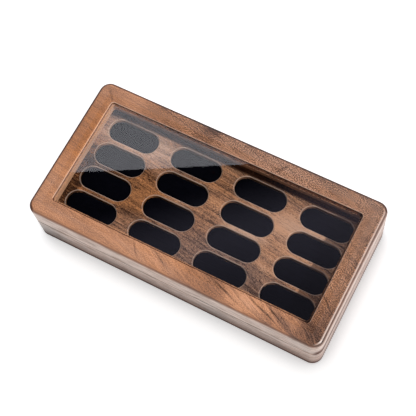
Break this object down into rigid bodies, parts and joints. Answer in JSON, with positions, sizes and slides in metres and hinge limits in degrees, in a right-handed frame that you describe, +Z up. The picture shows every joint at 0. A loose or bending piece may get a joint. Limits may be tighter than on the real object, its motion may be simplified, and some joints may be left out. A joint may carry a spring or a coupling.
{
  "type": "ring display box",
  "caption": "Rectangular walnut ring display box: a hinged glazed lid over soft slit pads set in round-ended pockets of the base block, held shut by magnets.",
  "frame": {"origin": "centre of the underside of the closed box, on the surface it stands on", "axes": "+Z up, +X along the length to the right seen from the front, +Y towards the hinged back"},
  "size_m": [0.2, 0.1, 0.04],
  "materials": {
    "walnut": "satin oil",
    "velvet": "matte velvet",
    "glass": "clear polished",
    "brass": "polished",
    "nickel": "nickel plated"
  },
  "bodies": {
    "base": {"base_block": "walnut", "pad_c1_r1": "velvet", "pad_c1_r2": "velvet", "pad_c1_r3": "velvet", "pad_c1_r4": "velvet", "pad_c2_r1": "velvet", "pad_c2_r2": "velvet", "pad_c2_r3": "velvet", "pad_c2_r4": "velvet", "pad_c3_r1": "velvet", "pad_c3_r2": "velvet", "pad_c3_r3": "velvet", "pad_c3_r4": "velvet", "pad_c4_r1": "velvet", "pad_c4_r2": "velvet", "pad_c4_r3": "velvet", "pad_c4_r4": "velvet", "base_magnet_left": "nickel", "base_magnet_right": "nickel", "hinge_left_base_leaf": "brass", "hinge_left_pin": "brass", "hinge_right_base_leaf": "brass", "hinge_right_pin": "brass", "base_leaf_screws": "brass"},
    "lid": {"lid_frame": "walnut", "window_glass": "glass", "hinge_left_lid_leaf": "brass", "hinge_right_lid_leaf": "brass", "lid_leaf_screws": "brass", "lid_magnet_left": "nickel", "lid_magnet_right": "nickel"}
  },
  "joints": [
    {"name": "lid_hinge", "type": "hinge", "parent": "base", "child": "lid", "pos_m": [0, 0.048, 0.024], "axis": [-1, 0, 0], "range_deg": [0, 100]}
  ]
}
